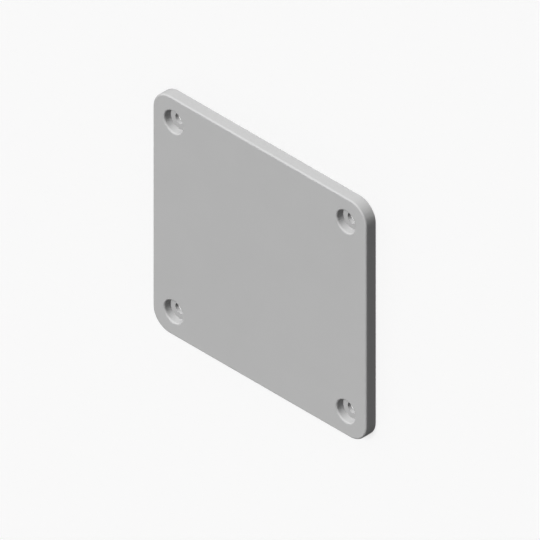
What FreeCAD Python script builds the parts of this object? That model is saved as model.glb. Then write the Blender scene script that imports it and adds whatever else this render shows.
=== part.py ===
import FreeCAD, Part
import os

# A rectangular cover plate that lies on its back: width along X, height along Y, front face up.
# The origin is the centre of the back face. All sizes are in millimetres.

# Plate
PLATE_WIDTH = 130.0
PLATE_HEIGHT = 125.0
PLATE_THICKNESS = 6.0
CORNER_RADIUS = 10.0

# Edges, hole mouths included: rounded at the front face, and only broken at the back face
FRONT_EDGE_RADIUS = 0.8
BACK_EDGE_CHAMFER = 0.2

# Counterbored hole near each corner, for an M5 screw whose low head sits below the front face
HOLE_INSET = 12.5
SCREW_HOLE_DIAMETER = 5.5
COUNTERBORE_DIAMETER = 11.0
COUNTERBORE_DEPTH = 4.0

# How far a cutter runs past the face that it opens
OVERRUN = 1.0

# Heights nearer to each other than this are the same height
SAME_HEIGHT = 1e-6


def blank():
    """The plate with its four corners rounded, before it is drilled."""
    corner = FreeCAD.Vector(-PLATE_WIDTH / 2, -PLATE_HEIGHT / 2, 0)
    slab = Part.makeBox(PLATE_WIDTH, PLATE_HEIGHT, PLATE_THICKNESS, corner)
    uprights = [edge for edge in slab.Edges if edge.BoundBox.ZLength > SAME_HEIGHT]
    return slab.makeFillet(CORNER_RADIUS, uprights)


def hole_centres():
    """The four hole axes, each as far in from one edge of its corner as from the other."""
    x = PLATE_WIDTH / 2 - HOLE_INSET
    y = PLATE_HEIGHT / 2 - HOLE_INSET
    return [FreeCAD.Vector(side * x, end * y, 0) for side in (-1, 1) for end in (-1, 1)]


def stepped_cutter():
    """What one screw hole and its counterbore take out of the plate, turned about the Z axis."""
    bottom = -OVERRUN
    seat = PLATE_THICKNESS - COUNTERBORE_DEPTH
    top = PLATE_THICKNESS + OVERRUN
    profile = [
        (0, bottom),
        (SCREW_HOLE_DIAMETER / 2, bottom),
        (SCREW_HOLE_DIAMETER / 2, seat),
        (COUNTERBORE_DIAMETER / 2, seat),
        (COUNTERBORE_DIAMETER / 2, top),
        (0, top),
        (0, bottom),
    ]
    outline = Part.makePolygon([FreeCAD.Vector(radius, 0, height) for radius, height in profile])
    return Part.Face(outline).revolve(FreeCAD.Vector(0, 0, 0), FreeCAD.Vector(0, 0, 1), 360)


def drilled(plate):
    """The plate with the stepped hole cut at each of the hole centres."""
    cutters = []
    for centre in hole_centres():
        cutter = stepped_cutter()
        cutter.translate(centre)
        cutters.append(cutter)
    return plate.cut(cutters)


def lies_at(edge, height):
    """Whether the whole edge lies in the level plane at this height."""
    box = edge.BoundBox
    return abs(box.ZMin - height) < SAME_HEIGHT and abs(box.ZMax - height) < SAME_HEIGHT


def edges_at(plate, height):
    """The plate's outline and the mouths of its holes at one height."""
    return [edge for edge in plate.Edges if lies_at(edge, height)]


def cover_plate():
    """The whole plate, one solid."""
    plate = drilled(blank())
    plate = plate.makeFillet(FRONT_EDGE_RADIUS, edges_at(plate, PLATE_THICKNESS))
    plate = plate.makeChamfer(BACK_EDGE_CHAMFER, edges_at(plate, 0))
    return plate.Solids[0]


os.makedirs("parts", exist_ok=True)
cover_plate().exportStep("parts/cover_plate.step")
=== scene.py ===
from math import cos, pi, radians, sin

import bpy
from mathutils import Matrix, Vector


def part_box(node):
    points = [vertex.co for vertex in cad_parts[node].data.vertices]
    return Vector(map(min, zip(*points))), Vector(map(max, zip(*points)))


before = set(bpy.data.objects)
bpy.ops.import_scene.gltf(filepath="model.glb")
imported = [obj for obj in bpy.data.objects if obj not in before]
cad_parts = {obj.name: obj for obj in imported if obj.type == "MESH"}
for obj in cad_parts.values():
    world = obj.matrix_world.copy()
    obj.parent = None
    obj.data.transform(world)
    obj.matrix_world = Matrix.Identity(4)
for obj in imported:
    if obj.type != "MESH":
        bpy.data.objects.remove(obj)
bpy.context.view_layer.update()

MM = 0.001

# The photograph's view: isometric, with the plate's width, height and thickness shortened alike.
# Its scale, and the pixel where the centre of the plate's front face shows.
PICTURE_SIDE_PX = 540
PX_PER_MM = 2.3218
FRONT_CENTRE_PX = (259.5, 266.9)
VIEW_RIGHT = Vector((1, 0, -1)).normalized()
VIEW_UP = Vector((-1, 2, -1)).normalized()
CAMERA_DISTANCE = 1000 * MM

# The pale ground of the photograph, as the camera and reflections see it
GROUND_BRIGHTNESS = 0.947

# Light in the room. Azimuths turn from the plate's width towards its height and elevations rise from
# the plane of the plate, both in degrees. An angle, in radians, is how wide the lamp looks from the
# plate. The photograph has no shadows and no light thrown from one surface to another, and an even
# lamp gives neither. The high lamp is a real one, and lays the plate's shadow on the floor, where the
# plate hides most of it from the photograph's view. The back lamp lights only the sides that the
# photograph doesn't show.
ROOM_LIGHT = 0.1
LAMPS = {
    "main_lamp": {"azimuth": 102, "elevation": 28, "energy": 3.92, "angle": 0.45, "even": True},
    "side_lamp": {"azimuth": 30, "elevation": 30, "energy": 0.44, "angle": 0.3, "even": True},
    "high_lamp": {"azimuth": 85, "elevation": 65, "energy": 0.5, "angle": 0.35, "even": False},
    "back_lamp": {"azimuth": 235, "elevation": 8, "energy": 0.3, "angle": 0.5, "even": True},
}

# Floor, just below the plate's back face so that the two don't flicker. It is pale where it is seen,
# and darker in the light that it throws on the plate.
FLOOR_SIZE = 8000 * MM
FLOOR_DROP = 0.05 * MM
FLOOR_GREY_SEEN = 0.9
FLOOR_GREY_THROWN = 0.25

# Metal: matt and neutral grey, with a fine blasted grain and wide, faint clouds. What they do to the
# colour and the roughness is a share of the metal's own value, as much upwards as downwards.
METAL_GREY = 0.47
METAL_ROUGHNESS = 0.86
METAL_SPECULAR = 0.2
GRAIN_SIZE = 0.3 * MM
GRAIN_DEPTH = 0.02 * MM
# Painted shade in the grain's pits and a painted highlight on its peaks, as a share of the colour
PAINTED_GRAIN_SHADE = 0.03
GRAIN_IN_ROUGHNESS = 0.1
CLOUD_SIZE = 20 * MM
CLOUD_IN_COLOUR = 0.01

# Noise: how many finer layers lie over its patches, and the range that it seldom leaves
NOISE_DETAIL = 4
NOISE_RANGE = (0.3, 0.7)


def add_node(tree, kind, **inputs):
    """A new shader node. Each input is a socket's name and its value, or the output to link it to."""
    node = tree.nodes.new(kind)
    for name, value in inputs.items():
        socket = node.inputs[name.replace("_", " ")]
        if isinstance(value, bpy.types.NodeSocket):
            tree.links.new(value, socket)
        else:
            socket.default_value = value
    return node


def empty_tree(owner):
    """The node tree of a material or world, with nothing in it."""
    owner.use_nodes = True
    owner.node_tree.nodes.clear()
    return owner.node_tree


def spread(tree, value, low, high, value_low=0.0, value_high=1.0):
    """The value, moved from its own range to the one from low to high."""
    node = add_node(tree, "ShaderNodeMapRange", Value=value)
    node.inputs["From Min"].default_value = value_low
    node.inputs["From Max"].default_value = value_high
    node.inputs["To Min"].default_value = low
    node.inputs["To Max"].default_value = high
    return node.outputs["Result"]


def combined(tree, operation, first, second):
    """What the operation makes of two values."""
    node = tree.nodes.new("ShaderNodeMath")
    node.operation = operation
    tree.links.new(first, node.inputs[0])
    tree.links.new(second, node.inputs[1])
    return node.outputs["Value"]


def seen_directly(tree):
    """1 for a ray from the camera, off a gloss or through glass, and 0 for the others."""
    path = tree.nodes.new("ShaderNodeLightPath")
    seen = path.outputs["Is Camera Ray"]
    for kind in ("Is Glossy Ray", "Is Transmission Ray"):
        seen = combined(tree, "MAXIMUM", seen, path.outputs[kind])
    return seen


def add_to_scene(name, data):
    """A new object in the scene, made of this data."""
    thing = bpy.data.objects.new(name, data)
    bpy.context.scene.collection.objects.link(thing)
    return thing


def make_camera():
    """The camera at the photograph's viewing angle, with the plate where the photograph has it."""
    low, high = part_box("cover_plate")
    front_centre = Vector(((low.x + high.x) / 2, (low.y + high.y) / 2, high.z))
    px = MM / PX_PER_MM
    right = (PICTURE_SIDE_PX / 2 - FRONT_CENTRE_PX[0]) * px
    down = (PICTURE_SIDE_PX / 2 - FRONT_CENTRE_PX[1]) * px
    aim = front_centre + VIEW_RIGHT * right - VIEW_UP * down
    back = VIEW_RIGHT.cross(VIEW_UP)
    lens = bpy.data.cameras.new("camera")
    lens.type = "ORTHO"
    lens.ortho_scale = PICTURE_SIDE_PX * px
    camera = add_to_scene("camera", lens)
    turn = Matrix((VIEW_RIGHT, VIEW_UP, back)).transposed().to_4x4()
    camera.matrix_world = Matrix.Translation(aim + back * CAMERA_DISTANCE) @ turn
    bpy.context.scene.camera = camera


def make_lamp(name, lamp):
    """A far lamp with a wide, soft face. An even one lights all that it faces, and nothing beyond."""
    azimuth = radians(lamp["azimuth"])
    elevation = radians(lamp["elevation"])
    towards = Vector((cos(azimuth) * cos(elevation), sin(azimuth) * cos(elevation), sin(elevation)))
    light = bpy.data.lights.new(name, "SUN")
    light.energy = lamp["energy"]
    light.angle = lamp["angle"]
    if lamp["even"]:
        light.use_shadow = False
        light.cycles.max_bounces = 0
    placed = add_to_scene(name, light)
    placed.rotation_mode = "QUATERNION"
    placed.rotation_quaternion = towards.to_track_quat("Z", "Y")


def make_room():
    """An even room: as pale as the photograph's ground where it is seen, and dim where it lights."""
    world = bpy.data.worlds.new("room")
    bpy.context.scene.world = world
    tree = empty_tree(world)
    strength = spread(tree, seen_directly(tree), ROOM_LIGHT, GROUND_BRIGHTNESS)
    light = add_node(tree, "ShaderNodeBackground", Color=(1, 1, 1, 1), Strength=strength)
    add_node(tree, "ShaderNodeOutputWorld", Surface=light.outputs["Background"])


def floor_glow():
    """How much the floor adds to the light that it throws back, to be as pale as the ground."""
    from_lamps = sum(lamp["energy"] * sin(radians(lamp["elevation"])) for lamp in LAMPS.values()) / pi
    return GROUND_BRIGHTNESS - FLOOR_GREY_SEEN * (from_lamps + ROOM_LIGHT)


def floor_material():
    """Matt, to hold the plate's shadow, and lifted to the photograph's pale ground where it is seen."""
    material = bpy.data.materials.new("floor")
    tree = empty_tree(material)
    seen = seen_directly(tree)
    grey = spread(tree, seen, FLOOR_GREY_THROWN, FLOOR_GREY_SEEN)
    matt = add_node(tree, "ShaderNodeBsdfDiffuse", Color=grey)
    lift = spread(tree, seen, 0.0, floor_glow())
    glow = add_node(tree, "ShaderNodeEmission", Strength=lift)
    both = tree.nodes.new("ShaderNodeAddShader")
    tree.links.new(matt.outputs["BSDF"], both.inputs[0])
    tree.links.new(glow.outputs["Emission"], both.inputs[1])
    add_node(tree, "ShaderNodeOutputMaterial", Surface=both.outputs["Shader"])
    return material


def make_floor():
    """The plain floor that the plate lies on."""
    half = FLOOR_SIZE / 2
    corners = [(-half, -half), (half, -half), (half, half), (-half, half)]
    mesh = bpy.data.meshes.new("floor")
    mesh.from_pydata([(x, y, -FLOOR_DROP) for x, y in corners], [], [(0, 1, 2, 3)])
    mesh.materials.append(floor_material())
    add_to_scene("floor", mesh)


def noise(tree, place, size):
    """Unevenness whose patches are about this wide."""
    patches = add_node(tree, "ShaderNodeTexNoise", Vector=place, Scale=1 / size, Detail=NOISE_DETAIL)
    return patches.outputs["Fac"]


def varied(tree, unevenness, middle, share):
    """The middle value, and up to this share of it more or less where the unevenness is high or low."""
    return spread(tree, unevenness, middle * (1 - share), middle * (1 + share), *NOISE_RANGE)


def blasted_metal():
    """Matt, neutral grey metal: a fine pebbled grain, duller in its pits, with painted shade in its pits
    and a painted highlight on its peaks, and faint clouds.
    """
    material = bpy.data.materials.new("blasted_metal")
    tree = empty_tree(material)
    place = tree.nodes.new("ShaderNodeTexCoord").outputs["Object"]
    grain = noise(tree, place, GRAIN_SIZE)
    clouds = noise(tree, place, CLOUD_SIZE)
    clouded = varied(tree, clouds, METAL_GREY, CLOUD_IN_COLOUR)
    # Painted shade in the grain's pits and a painted highlight on its peaks
    painted_grain_shade = varied(tree, grain, 1.0, PAINTED_GRAIN_SHADE)
    pebbles = add_node(tree, "ShaderNodeBump", Height=grain, Strength=1.0, Distance=GRAIN_DEPTH)
    metal = add_node(
        tree,
        "ShaderNodeBsdfPrincipled",
        Base_Color=combined(tree, "MULTIPLY", clouded, painted_grain_shade),
        Roughness=varied(tree, grain, METAL_ROUGHNESS, -GRAIN_IN_ROUGHNESS),
        Normal=pebbles.outputs["Normal"],
        Specular_IOR_Level=METAL_SPECULAR,
    )
    add_node(tree, "ShaderNodeOutputMaterial", Surface=metal.outputs["BSDF"])
    return material


bpy.context.scene.view_settings.view_transform = "Standard"
make_camera()
for name, lamp in LAMPS.items():
    make_lamp(name, lamp)
make_room()
make_floor()

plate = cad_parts["cover_plate"]
plate.material_slots[0].material = blasted_metal()
